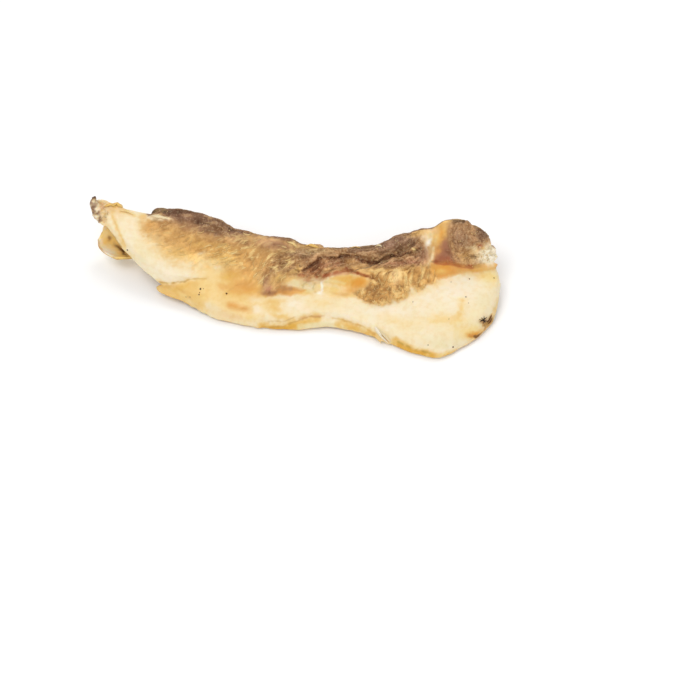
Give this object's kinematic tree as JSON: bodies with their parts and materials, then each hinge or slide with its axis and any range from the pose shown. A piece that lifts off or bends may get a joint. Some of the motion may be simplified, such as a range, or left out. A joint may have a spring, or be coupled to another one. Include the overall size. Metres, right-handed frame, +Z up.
{
  "type": "pork shoulder cartilage",
  "caption": "Long arched piece of dried cartilage: a thin pale blade with a thick ridge of dried meat along its back edge and a curled lobe under its raised end.",
  "frame": {"origin": "on the ground, under the middle of the piece's box", "axes": "+X along the piece towards its broad end, +Y from the thin rim towards the ridge of meat, +Z up"},
  "size_m": [0.1766, 0.0716, 0.0263],
  "materials": {
    "cartilage": "dried cartilage, ivory to gold with a soft waxy sheen, and matt grey-brown dried meat along the ridge"
  },
  "bodies": {
    "root": {"cartilage": "cartilage"}
  },
  "joints": []
}
